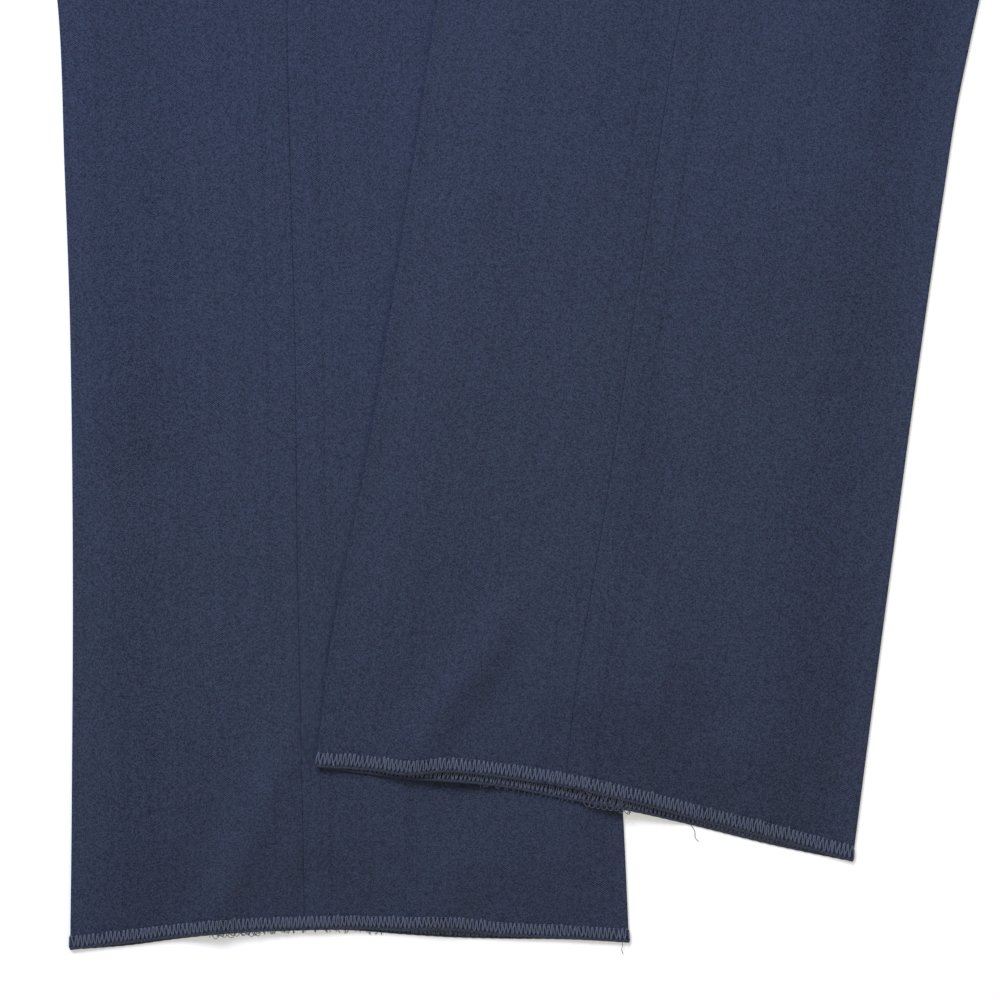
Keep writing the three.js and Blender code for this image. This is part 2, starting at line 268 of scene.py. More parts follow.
class Half:
    """One leg and its half of the seat, as a flattened tube.

    A point of it is given by its height up from the hem and t, its way round the section in millimetres:
    0 at the left edge, on over the upper layer to the right edge, and back on the under layer.
    """

    def __init__(self, leg, seat, hem, creases, to_left, fold=None):
        sign = 1 if to_left else -1
        self.fold = fold
        self.length = leg["height"][-1]
        self.hem, self.creases, self.to_left = hem, creases, to_left
        self.base = None
        middle = FORK + seat["rise"][:, None] * UP
        centre = middle + sign * MIDDLE_GAP * ACROSS
        side = middle + sign * seat["half"][:, None] * ACROSS - seat["drop"][:, None] * UP
        left, right = (centre, side) if to_left else (side, centre)
        share = seat["side_seam"] / seat["half"]
        over = np.zeros_like(share) if to_left else np.ones_like(share)
        turn = leg["turn"]
        columns = {
            "height": (leg["height"], self.length + seat["rise"]),
            "left_x": (leg["left_x"], left[:, 0]),
            "left_y": (leg["left_y"], left[:, 1]),
            "right_x": (leg["right_x"], right[:, 0]),
            "right_y": (leg["right_y"], right[:, 1]),
            "inseam": (turn - sign * CREASE_TO_INSEAM, over),
            "outseam": (turn + sign * CREASE_TO_OUTSEAM, 1 - share if to_left else share),
            "turn": (turn, np.full_like(share, turn[-1])),
            "depth": (np.full_like(turn, LEG_DEPTH), seat["depth"]),
        }
        self.rows = {name: np.concatenate(parts) for name, parts in columns.items()}

    def at(self, column, height):
        value = value_at(self.rows, "height", column, height)
        if column == "inseam":
            middle_line = 0 if self.to_left else 1
            value = np.where(height > self.length, middle_line, np.minimum(value, middle_line))
        return value

    def line(self, height):
        left = np.stack([self.at("left_x", height), self.at("left_y", height)], axis=-1)
        right = np.stack([self.at("right_x", height), self.at("right_y", height)], axis=-1)
        width = np.linalg.norm(right - left, axis=-1)
        return left, (right - left) / width[..., None], width

    def width(self, height):
        return self.line(height)[2]

    def fold_height(self, height, at_left):
        """The outside height of the cloth at an edge: a pressed crease, thicker beside the fork."""
        if self.fold:
            return np.full(np.shape(height), float(self.fold))
        if at_left == self.to_left:
            start, end = (self.length - reach for reach in FORK_REACH)
            return FOLD + soft_step(start, end, height) * (FORK_DEPTH - FOLD)
        return FOLD + UNPRESSED * soft_step(*UNPRESSED_REACH, height)

    def points(self, height, t, inset=0.0):
        """Points of the layout at this height and way round, inset into the cloth's thickness.

        A height below 0 carries straight on past the hem's edge.
        """
        height, t = np.broadcast_arrays(np.asarray(height, float), np.asarray(t, float))
        if (height < 0).any():
            edge = self.points(np.maximum(height, 0), t, inset)
            above = self.points(np.maximum(height, 0) + 1, t, inset)
            return edge + (edge - above) * np.maximum(-height, 0)[..., None]
        left, along, width = self.line(height)
        open_left = (height > self.length) & self.to_left
        open_right = (height > self.length) & (not self.to_left)
        place = np.where(t > 2 * width, t - 2 * width, t)
        place = np.where((place < 0) & ~open_left, place + 2 * width, place)
        upper = place <= width
        across = np.where(upper, place, 2 * width - place)
        from_right = width - across
        side = np.where(upper, 1.0, -1.0)

        fold_left, fold_right = self.fold_height(height, True), self.fold_height(height, False)
        depth = self.at("depth", height) - HEM_PRESS * soft_step(HEM_PRESS_REACH, 0, height)
        reach_left, reach_right = LEFT_LEG_REACH if self.to_left else RIGHT_LEG_REACH
        near_left = soft_step(2, reach_left, np.where(open_left, reach_left, across))
        near_right = 1 - soft_step(2, reach_right, np.where(open_right, reach_right, from_right))
        full_depth = fold_left + (depth - fold_left) * near_left - (depth - fold_right) * near_right

        def bend(distance, fold):
            radius = fold / 2
            angle = np.clip(distance / radius, 0, 1) * math.pi / 2
            return radius, np.cos(angle), np.sin(angle)

        radius_l, cos_l, sin_l = bend(np.where(open_left, 1e3, across), fold_left)
        radius_r, cos_r, sin_r = bend(np.where(open_right, 1e3, from_right), fold_right)
        in_left = (across < radius_l) & ~open_left
        in_right = (from_right < radius_r) & ~open_right
        x = np.where(in_left, radius_l - (radius_l - inset) * cos_l, across)
        x = np.where(in_right, width - radius_r + (radius_r - inset) * cos_r, x)
        z = np.where(upper, full_depth - inset, inset)
        z = np.where(in_left, radius_l + side * (radius_l - inset) * sin_l, z)
        z = np.where(in_right, radius_r + side * (radius_r - inset) * sin_r, z)

        share = np.clip(x / width, 0, 1)
        fade = soft_step(HEM_REACH, 0, height)
        on_upper, on_under = (value_at(self.hem, "across", layer, share) for layer in ("upper", "under"))
        climb = np.where(upper, on_upper, on_under) * fade
        up = np.stack([-along[..., 1], along[..., 0]], axis=-1)
        flat = left + along * x[..., None] + up * climb[..., None]
        from_fold = np.where(open_left, NO_FOLD, across)
        from_fold = np.minimum(from_fold, np.where(open_right, NO_FOLD, from_right))
        relief = crease_height(self.creases, flat) + self.puff(height, share)
        z = z + np.where(upper, relief * soft_step(1.5, 16, from_fold), 0)
        if self.base is not None:
            z = z + self.base(flat)
        return np.concatenate([flat, z[..., None]], axis=-1)

    def puff(self, height, share):
        """How the upper layer stands up a little way above the hem, which lies flatter."""
        puff, mouth = (value_at(self.hem, "across", column, share) for column in ("puff", "mouth"))
        puff = puff * soft_step(0, 36, height) * soft_step(112, 36, height)
        return puff + mouth * soft_step(45, 0, height)

    def crease_distance(self, height, t):
        """The way round from the front crease, in millimetres, which the weave is laid out by."""
        return t - self.at("turn", height) * self.width(height)


right_half = Half(RIGHT_LEG, SEAT, RIGHT_HEM, RIGHT_CREASES, to_left=False)
left_half = Half(LEFT_LEG, SEAT, LEFT_HEM, LEFT_CREASES, to_left=True)
NO_CREASES = {column: np.empty(0) for column in CREASE_COLUMNS}
right_band = Half(RIGHT_LEG, BAND, RIGHT_HEM, NO_CREASES, to_left=False, fold=BAND_FOLD)
left_band = Half(LEFT_LEG, BAND, LEFT_HEM, NO_CREASES, to_left=True, fold=BAND_FOLD)

# The grid of the layout on which the lie of the left leg is worked out
RASTER_STEP = 2.0
RASTER_ORIGIN = np.array([-190.0, -170.0])
RASTER_SIZE = (150, 480)


def right_top(flat):
    """The height of the right leg's upper side at points of the layout, 0 beside the leg."""
    height = flat[..., 1] + 150.0
    for _ in range(8):
        left, along, width = right_half.line(height)
        off = flat - left
        height = height + off[..., 1] * along[..., 0] - off[..., 0] * along[..., 1]
    left, along, width = right_half.line(height)
    across = np.sum((flat - left) * along, axis=-1)
    on_leg = (across > 0) & (across < width) & (height > -1)
    top = right_half.points(np.maximum(height, 0), np.clip(across, 0, width))[..., 2]
    return np.where(on_leg, top, 0)


def drape_raster():
    """Heights of a cloth that lies over the right leg and comes down in an arc beside it."""
    columns, rows = RASTER_SIZE
    x, y = np.meshgrid(np.arange(columns), np.arange(rows), indexing="ij")
    flat = RASTER_ORIGIN + RASTER_STEP * np.stack([x, y], axis=-1)
    top = right_top(flat)
    reach = int(DRAPE_REACH / RASTER_STEP)
    over = top.copy()
    for shift in range(-reach, reach + 1):
        drop = DRAPE_RADIUS - math.sqrt(DRAPE_RADIUS ** 2 - (shift * RASTER_STEP) ** 2)
        moved = np.roll(top, shift, axis=0)
        over = np.maximum(over, moved - drop)
    for axis, passes in ((0, 6), (1, 3)):
        for _ in range(passes):
            over = (np.roll(over, 1, axis) + 2 * over + np.roll(over, -1, axis)) / 4
    return np.maximum(over, top)


def rest_height(flat):
    """How high the left leg's under side lies on the right leg and beside it."""
    place = (flat - RASTER_ORIGIN) / RASTER_STEP
    limit = np.array(RASTER_SIZE) - 2
    cell = np.clip(np.floor(place).astype(int), 0, limit)
    f = np.clip(place - cell, 0, 1)
    i, j = cell[..., 0], cell[..., 1]
    low = DRAPE[i, j] * (1 - f[..., 0]) + DRAPE[i + 1, j] * f[..., 0]
    high = DRAPE[i, j + 1] * (1 - f[..., 0]) + DRAPE[i + 1, j + 1] * f[..., 0]
    height = low * (1 - f[..., 1]) + high * f[..., 1]
    gap = LAYER_GAP * soft_step(0, 1, height)
    x, y, wide, tall, lift = HEM_LIFT
    stand = lift * np.exp(-((flat[..., 0] - x) / wide) ** 2 - ((flat[..., 1] - y) / tall) ** 2)
    return (height + gap + stand) * soft_step(LIFT_HEAD, LIFT_FOOT, flat[..., 1])


DRAPE = drape_raster()
left_half.base = rest_height


def steps(*stops):
    """Heights from a list of (start, step) pairs and an end."""
    *pairs, end = stops
    starts = [start for start, _ in pairs] + [end]
    parts = [np.arange(a, b, step) for (a, step), b in zip(pairs, starts[1:])]
    return np.append(np.concatenate(parts), end)


def graded(count, ease=0.9):
    """Fractions from 0 to 1 that lie closer together at both ends."""
    even = np.arange(1, count + 1) / count
    return even - ease * np.sin(2 * math.pi * even) / (2 * math.pi)


LEAST_STEP = 0.02  # between two columns of a grid


def column_places(start, end, folds, counts):
    """Places round a section from one seam to the other, close at the seams and round the folds."""
    places = [start]
    for (fold, radius), count in zip(folds, counts):
        to = min(max(fold - radius, start), end)
        places.extend(places[-1] + (to - places[-1]) * graded(count))
        places.extend(np.clip(fold + radius * np.linspace(-0.75, 1, 8), start, end))
    places.extend(places[-1] + (end - places[-1]) * graded(counts[-1]))
    places = np.array(places)
    steps_out = np.arange(len(places)) * LEAST_STEP
    places = np.maximum.accumulate(places - steps_out) + steps_out
    return np.minimum(places, end - steps_out[::-1])


def grid_faces(rows, columns, offset=0, flipped=False):
    """Quads between the points of a grid, row by row."""
    i, j = np.meshgrid(np.arange(rows - 1), np.arange(columns - 1), indexing="ij")
    a = (offset + i * columns + j).ravel()
    quads = np.stack([a, a + 1, a + columns + 1, a + columns], axis=1)
    return quads[:, ::-1] if flipped else quads


def rim_faces(rows, columns, offset):
    """Quads round the edge of a grid, from the outside grid to the inside one."""
    last = (rows - 1) * columns
    around = np.concatenate([
        np.arange(columns),
        np.arange(1, rows) * columns + columns - 1,
        last + np.arange(columns - 2, -1, -1),
        np.arange(rows - 2, 0, -1) * columns,
    ])
    following = np.roll(around, -1)
    return np.stack([around + offset, following + offset, following, around], axis=1)


def mesh_object(name, points, faces, material):
    """A smooth piece from points of the layout."""
    mesh = bpy.data.meshes.new(name)
    mesh.from_pydata(to_row(points).tolist(), [], [list(map(int, face)) for face in faces])
    mesh.polygons.foreach_set("use_smooth", [True] * len(mesh.polygons))
    mesh.materials.append(material)
    mesh.update()
    piece = bpy.data.objects.new(name, mesh)
    bpy.context.collection.objects.link(piece)
    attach(piece, "root")
    return piece


def add_uv(piece, name, values):
    """A UV layer from one pair of numbers for each vertex."""
    mesh = piece.data
    layer = mesh.uv_layers.new(name=name)
    corner = np.empty(len(mesh.loops), int)
    mesh.loops.foreach_get("vertex_index", corner)
    layer.data.foreach_set("uv", np.asarray(values, float)[corner].ravel())


# Materials

def linear(red, green, blue):
    """A screen colour of 0 to 255 as scene-linear numbers, with alpha."""
    def one(value):
        value /= 255
        return value / 12.92 if value <= 0.04045 else ((value + 0.055) / 1.055) ** 2.4
    return (one(red), one(green), one(blue), 1.0)


class Nodes:
    """Short calls for building a material."""

    def __init__(self, name):
        self.material = bpy.data.materials.new(name)
        self.material.use_nodes = True
        self.tree = self.material.node_tree
        self.shader = self.tree.nodes["Principled BSDF"]

    def plain(self, values):
        """Sets plain values straight on the shader's sockets."""
        for name, value in values.items():
            self.shader.inputs[name].default_value = value

    def node(self, kind, **settings):
        made = self.tree.nodes.new(kind)
        for key, value in settings.items():
            setattr(made, key, value)
        return made

    def put(self, socket, value):
        if hasattr(value, "is_output"):
            self.tree.links.new(value, socket)
        else:
            socket.default_value = value

    def math(self, operation, first, second=0.0, clamp=False):
        made = self.node("ShaderNodeMath", operation=operation, use_clamp=clamp)
        self.put(made.inputs[0], first)
        self.put(made.inputs[1], second)
        return made.outputs[0]

    def times(self, first, second):
        return self.math("MULTIPLY", first, second)

    def plus(self, first, second, clamp=False):
        return self.math("ADD", first, second, clamp)

    def less(self, first, second, clamp=False):
        return self.math("SUBTRACT", first, second, clamp)

    def split(self, uv_name):
        uv = self.node("ShaderNodeUVMap", uv_map=uv_name)
        parts = self.node("ShaderNodeSeparateXYZ")
        self.put(parts.inputs[0], uv.outputs[0])
        return parts.outputs[0], parts.outputs[1]

    def vector(self, x, y, z=0.0):
        made = self.node("ShaderNodeCombineXYZ")
        for socket, value in zip(made.inputs, (x, y, z)):
            self.put(socket, value)
        return made.outputs[0]

    def noise(self, vector, scale, detail=2.0, roughness=0.5):
        made = self.node("ShaderNodeTexNoise")
        self.put(made.inputs["Vector"], vector)
        made.inputs["Scale"].default_value = scale
        made.inputs["Detail"].default_value = detail
        made.inputs["Roughness"].default_value = roughness
        return made.outputs["Fac"]

    def mix(self, factor, first, second, blend="MIX"):
        made = self.node("ShaderNodeMix", data_type="RGBA", blend_type=blend)
        self.put(made.inputs[0], factor)
        self.put(made.inputs[6], first)
        self.put(made.inputs[7], second)
        return made.outputs[2]

    def tinted(self, colour, tint):
        return self.mix(1.0, colour, tint, "MULTIPLY")

    def cells(self, across, along, size):
        """A random number for each cell of a grid."""
        column = self.math("FLOOR", self.math("DIVIDE", across, size[0]))
        row = self.math("FLOOR", self.math("DIVIDE", along, size[1]))
        made = self.node("ShaderNodeTexWhiteNoise", noise_dimensions="2D")
        self.put(made.inputs["Vector"], self.vector(column, row))
        return made.outputs["Value"]

    def pulse(self, value, middle, half_width):
        """1 where the value is at the middle, falling softly to 0 on both sides."""
        off = self.math("DIVIDE", self.less(value, middle), half_width)
        return self.math("POWER", 0.37, self.times(off, off))

    def bump(self, height, strength, distance):
        made = self.node("ShaderNodeBump")
        self.put(made.inputs["Height"], height)
        made.inputs["Strength"].default_value = strength
        made.inputs["Distance"].default_value = distance
        self.put(self.shader.inputs["Normal"], made.outputs[0])


ALLOWANCE = 9.4  # from a seam to where its pressed-open allowance ends under the cloth
TWILL_PITCH = 0.72  # across the twill lines, measured along the weft
CROSSING = (0.37, 0.34)  # size of one crossing of the yarns
TWILL_LEAN = -0.62  # how far the twill lines move across for each step along the warp
CHECK = (1.02, 0.68)  # the little checks that the crossing yarns make, across and along
PAINTED_THREAD_SHADE = 1.8  # the line above the hem's edge where the painted shade of its threads falls, and its half width
THREAD_SHADE_WIDTH = 3.0
LOWER_PAINTED_LIGHT = 150.0  # up to here from the hem the cloth is painted lighter and bluer: painted light that falls off towards the hem
UPPER_PAINTED_LIGHT = 140.0  # and over this length above that it is painted bluer still, as painted cool light


def cloth_material():
    """Navy worsted: a fine steep twill of slightly heathered yarn, with faint lengthwise streaks."""
    n = Nodes("worsted")
    u, v = n.split("weave")
    turn = 2 * math.pi

    # The weave and the unevenness of its yarn
    diagonal = n.plus(u, n.times(v, TWILL_LEAN))
    wobble = n.times(n.noise(n.vector(u, v), 0.35), 0.5)
    twill = n.math("SINE", n.times(n.plus(diagonal, wobble), turn / TWILL_PITCH))
    across = n.math("SINE", n.times(n.plus(u, wobble), turn / CHECK[0]))
    along = n.math("SINE", n.times(n.plus(v, wobble), turn / CHECK[1]))
    patch = n.less(n.noise(n.vector(u, v), 0.07, 1.0), 0.42)
    check = n.times(n.times(across, along), n.math("MAXIMUM", patch, 0.1))
    crossing = n.cells(n.plus(u, wobble), n.plus(v, wobble), CROSSING)
    heather = n.noise(n.vector(u, n.times(v, 0.85)), 2.1, 1.0, 0.7)
    streak = n.noise(n.vector(n.times(u, 0.55), n.times(v, 0.006)), 1.0, 3.0, 0.65)
    cloud = n.noise(n.vector(u, v), 0.02, 2.0)

    weave = n.plus(n.times(twill, 0.12), n.times(check, 2.6))
    spread = n.times(n.less(heather, 0.5), 1.1)
    spread = n.plus(spread, n.times(n.less(crossing, 0.5), 1.15))
    length = n.times(n.less(streak, 0.5), 0.42)
    fleck = n.less(n.noise(n.vector(u, v), 0.55, 1.0), 0.5)
    broad = n.plus(n.times(n.less(cloud, 0.5), 0.14), n.times(fleck, 0.35))
    tone = n.plus(n.plus(weave, spread), n.plus(length, broad))

    # Painted sheen along a crease, painted shade in a band beside it, painted shade under the hem's threads,
    # and painted shade along the step where an allowance ends below
    seam, fold = n.split("seam")
    uneven = n.times(n.noise(n.vector(u, v), 0.016, 2.0), 2.0)
    # Painted sheen: lighter along the crease
    tone = n.plus(tone, n.times(n.pulse(fold, 0, 9), 0.1))
    # Painted shade: a darker band beside the crease, where the cloth slopes down to it
    tone = n.less(tone, n.times(n.times(n.pulse(fold, 22, 15), uneven), 0.13))
    # Painted shade: darker just above the hem's edge, under its threads
    tone = n.less(tone, n.times(n.pulse(v, PAINTED_THREAD_SHADE, THREAD_SHADE_WIDTH), 0.3))
    # Painted shade: a darker line along the step where a seam's allowance ends under the cloth
    tone = n.less(tone, n.times(n.times(n.pulse(seam, ALLOWANCE, 0.55), uneven), 0.14))

    # Its colour, with painted light from the hem up: darker and less blue towards the hem, bluer further up
    shade = n.plus(n.times(tone, 0.5), 0.5, clamp=True)
    tint = n.mix(n.noise(n.vector(u, v), 0.3, 2.0), (0.9, 1.08, 0.97, 1), (1.1, 0.92, 1.02, 1))
    colour = n.tinted(n.mix(shade, linear(17, 20, 33), linear(61, 71, 95)), tint)
    lower = n.less(1.0, n.math("DIVIDE", v, LOWER_PAINTED_LIGHT), clamp=True)
    upper = n.math("DIVIDE", n.less(v, LOWER_PAINTED_LIGHT), UPPER_PAINTED_LIGHT, clamp=True)
    colour = n.tinted(colour, n.mix(lower, (1.02, 0.99, 0.965, 1), (0.92, 0.885, 0.855, 1)))
    colour = n.tinted(colour, n.mix(upper, (1, 1, 1, 1), (0.95, 0.99, 1.075, 1)))
    n.put(n.shader.inputs["Base Color"], colour)
    n.plain({
        "Roughness": 0.78,
        "Specular IOR Level": 0.12,
        "Sheen Weight": 0.07,
        "Sheen Roughness": 0.45,
        "Sheen Tint": linear(130, 150, 200),
    })
    n.bump(n.plus(twill, n.times(heather, 2.0)), 0.35, 0.00006)
    return n.material


def grained_material(name, grain, colours, values, bump):
    """Two close colours, mixed by a fine grain that also lifts the surface."""
    n = Nodes(name)
    fleck = n.noise(n.node("ShaderNodeTexCoord").outputs["Object"], *grain)
    n.put(n.shader.inputs["Base Color"], n.mix(fleck, *(linear(*colour) for colour in colours)))
    n.plain(values)
    n.bump(fleck, *bump)
    return n.material


def thread_material(name, dark, light):
    """Twisted polyester thread with a soft gloss."""
    values = {"Roughness": 0.5, "Specular IOR Level": 0.35, "Sheen Weight": 0.1}
    return grained_material(name, (2600.0, 2.0), (dark, light), values, (0.4, 0.00008))


def button_material():
    """Polished navy resin with a faint cloudy grain."""
    colours = ((22, 26, 40), (52, 58, 80))
    values = {"Roughness": 0.28, "Coat Weight": 0.3}
    return grained_material("resin", (260.0, 4.0, 0.6), colours, values, (0.05, 0.0002))


CLOTH_MATERIAL = cloth_material()
# A darker copy of the overlock thread, for the bead round the hem's edge and the frayed ends made with it:
# painted shade where the bead turns away from the light
RIM_THREAD_PAINTED_SHADE = thread_material("overlock_rim_painted_shade", (27, 34, 50), (62, 71, 94))
HEM_THREAD = thread_material("overlock_thread", (33, 40, 58), (94, 102, 124))
SEWING_THREAD = thread_material("sewing_thread", (46, 54, 78), (80, 90, 120))

# Cloth shells

SEAM_ROUND = 0.32  # how far a panel's edge rounds down into a seam
SEAM_DIP = 0.16  # how deep a seam dips
ALLOWANCE_LIFT = 0.2  # how far the allowances below it lift the cloth
ALLOWANCE_SOFT = 0.8  # half width of the step where they end


def seam_relief(distance):
    """How a seam dips and its pressed-open allowances show through, by the distance from its line."""
    dip = -SEAM_DIP * np.exp(-((distance / SEAM_ROUND) ** 2))
    step = soft_step(ALLOWANCE - ALLOWANCE_SOFT, ALLOWANCE + ALLOWANCE_SOFT, distance)
    return dip + ALLOWANCE_LIFT * (1 - step)


def section_grid(half, heights, ends, folds, counts):
    """Heights and places of a grid on a half, from ends(height, width), its two edges round the section."""
    places = []
    for height in heights:
        width = float(half.width(height))
        start, end = ends(float(height), width)
        near = [(place * width, half.fold_height(height, place % 2 == 0) / 2) for place in folds]
        places.append(column_places(start, end, near, counts))
    places = np.array(places)
    return np.repeat(heights[:, None], places.shape[1], axis=1), places


def shell(name, outer, inner, weave, seam):
    """A closed shell of cloth between two grids of points, with its places on the weave and by a seam."""
    rows, columns = outer.shape[:2]
    count = rows * columns
    faces = np.concatenate([
        grid_faces(rows, columns),
        grid_faces(rows, columns, count, flipped=True),
        rim_faces(rows, columns, count),
    ])
    points = np.concatenate([outer.reshape(-1, 3), inner.reshape(-1, 3)])
    piece = mesh_object(name, points, faces, CLOTH_MATERIAL)
    for layer, pair in (("weave", weave), ("seam", seam)):
        values = np.stack(pair, axis=-1).reshape(-1, 2)
        add_uv(piece, layer, np.concatenate([values, values]))
    return piece


def cloth_panel(name, half, heights, ends, folds, counts):
    """A panel's shell on one half, with its seams at both ends of the section."""
    heights, places = section_grid(half, heights, ends, folds, counts)
    outer = half.points(heights, places)
    inner = half.points(heights, places, CLOTH)
    width = half.width(heights)
    turned = np.where(places > 2 * width, places - 2 * width, places)
    upper = (turned >= 0) & (turned <= width)
    from_seam = np.minimum(places - places[:, :1], places[:, -1:] - places)
    shift = np.where(upper, seam_relief(from_seam), 0)
    outer[..., 2] += shift
    inner[..., 2] += shift
    away = np.abs(turned - (width if half.to_left else 0))
    weave = (half.crease_distance(heights, places), heights)
    return shell(name, outer, inner, weave, (from_seam, np.minimum(away, 2 * width - away)))


def leg_heights(half):
    """Rows of a panel: close at the hem and at the fork, wider between."""
    wide = 4.4
    top = half.rows["height"][-1]
    return steps((0, 1.0), (12, 2.2), (330, wide), (half.length - 6, 2), (half.length + 12, wide), top)


def declare(half, first, second):
    """Works out a panel's widest width and its area before sewing, from its share of the section at each
    height, but neither returns nor keeps them.
    """
    top = half.rows["height"][-1]

    def widths(heights):
        share = half.at(second[0], heights) - half.at(first[0], heights) + second[1] - first[1]
        return share * half.width(heights)

    widest = float(widths(np.linspace(0, top, 200)).max())
    heights = np.linspace(0, top, 300)
    area = float(np.trapz(widths(heights), heights)) * MM * MM


def seam_ends(half, first, second):
    """ends() for a panel between two seams, each a name and how many times round it lies."""
    def ends(height, width):
        gaps = [
            MIDDLE_GAP if name == "inseam" and height > half.length else SEAM_GAP / 2
            for name in (first[0], second[0])
        ]
        a = float(half.at(first[0], height)) + first[1]
        b = float(half.at(second[0], height)) + second[1]
        return a * width + gaps[0], b * width - gaps[1]
    return ends


def make_cloth():
    """The four panels. Each seam is a name and how many times round the section it lies."""
    parts = (
        ("right_front", right_half, ("outseam", 0), ("inseam", 0), (0,), (16, 42)),
        ("right_back", right_half, ("inseam", 0), ("outseam", 2), (1, 2), (40, 40, 8)),
        ("left_front", left_half, ("inseam", 0), ("outseam", 0), (0,), (22, 42)),
        ("left_back", left_half, ("outseam", 0), ("inseam", 2), (1,), (42, 44)),
    )
    for node, half, first, second, folds, counts in parts:
        ends = seam_ends(half, first, second)
        piece = cloth_panel(f"{node}_cloth", half, leg_heights(half), ends, folds, counts)
        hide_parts(node)
        declare(half, first, second)


make_cloth()

BAND_GAP = 0.03  # from the seat to the waistband
TAB_GAP = 0.15  # from the tab's end to the waistband's right half
BAND_ROWS = (0, 0.35, 0.8, 1.6, 4, 9, 14, 19, 24, 29, 34, 36, 37.2, BAND_HEIGHT - BAND_GAP)


def band_rounding(half, heights, places):
    """How much lower the waistband's top lies by its upper and its lower edge."""
    low = np.exp(-((heights - heights.min()) / 0.5) ** 2)
    high = np.exp(-((heights.max() - heights) / 0.9) ** 2)
    width = half.width(heights)
    turned = np.where(places > 2 * width, places - 2 * width, places)
    return np.where(turned <= width, 0.35 * low + 0.3 * high, 0)


def waistband(node, half, ends, folds, counts):
    """One half of the waistband, a padded strip round the waist."""
    start = half.length + RISE + BAND_GAP
    heights, places = section_grid(half, start + np.array(BAND_ROWS), ends, folds, counts)
    outer = half.points(heights, places)
    outer[..., 2] -= band_rounding(half, heights, places)
    inner = half.points(heights, places, BAND_CLOTH)
    # It is cut along the cloth, so its grain runs round the waist
    weave = (heights - start, places + start)
    no_seam = np.full_like(heights, NO_FOLD)
    piece = shell(f"{node}_cloth", outer, inner, weave, (no_seam, no_seam))
    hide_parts(node)


waistband(
    "waistband_right",
    right_band,
    lambda height, width: (width + MIDDLE_GAP, 3 * width - TAB_LENGTH - TAB_GAP),
    (1, 2),
    (3, 60, 50),
)
waistband(
    "waistband_left",
    left_band,
    lambda height, width: (-TAB_LENGTH, 2 * width - MIDDLE_GAP),
    (1,),
    (70, 60),
)

# Thread


def tube(path, radius, sides):
    """Points and faces of a thread along a path, with its frame carried from point to point."""
    ahead = unit(np.gradient(path, axis=0) + 1e-9)
    normal = np.array([0.0, 0.0, 1.0])
    rings = []
    for k in range(len(path)):
        normal = normal - ahead[k] * (normal @ ahead[k])
        size = np.linalg.norm(normal)
        normal = normal / size if size > 1e-6 else np.array([1.0, 0.0, 0.0])
        second = np.cross(ahead[k], normal)
        angle = np.linspace(0, 2 * math.pi, sides, endpoint=False)
        rings.append(path[k] + radius * (np.cos(angle)[:, None] * normal + np.sin(angle)[:, None] * second))
    points = np.concatenate(rings)
    faces = []
    for start in range(0, (len(path) - 1) * sides, sides):
        for side in range(sides):
            a, b = start + side, start + (side + 1) % sides
            faces.append((a, b, b + sides, a + sides))
    faces.append(tuple(range(sides))[::-1])
    faces.append(tuple(range((len(path) - 1) * sides, len(path) * sides)))
    return points, faces


THREAD_GAP = 0.02  # from the table to the lowest thread


class Threads:
    """Many threads gathered into one mesh."""

    def __init__(self):
        self.points, self.faces, self.count = [], [], 0

    def add(self, path, radius, sides=5):
        """A thread along a path, which is kept above the table."""
        path = np.array(path, float)
        path[:, 2] = np.maximum(path[:, 2], radius + THREAD_GAP)
        points, faces = tube(path, radius, sides)
        self.points.append(points)
        self.faces.extend(tuple(index + self.count for index in face) for face in faces)
        self.count += len(points)

    def make(self, name, material):
        piece = mesh_object(name, np.concatenate(self.points), self.faces, material)
        return piece


BITE = 4.4  # how far in from the hem's edge the needle line runs
STITCH = 1.46  # from one loop to the next
THREAD = 0.29  # radius of the woolly looper thread
NEEDLE_THREAD = 0.12
LOOP = (  # one loop of the looper thread: shares of a stitch along the hem, and of the bite up from it
    (0.0, 0.16),
    (0.1, 0.36),
    (0.19, 0.66),
    (0.27, 0.93),
    (0.39, 1.03),
    (0.52, 0.92),
    (0.64, 0.6),
    (0.8, 0.34),
    (0.92, 0.16),
)
RIM = 0.5  # radius of the bead of thread that wraps the cloth's edge
RIM_TURNS = 1.5  # times that each of its two threads goes round in a stitch
NEEDLE_RISE = np.array([0.1, -0.14, -0.2, -0.14, 0.1])  # depth in the cloth along a needle stitch


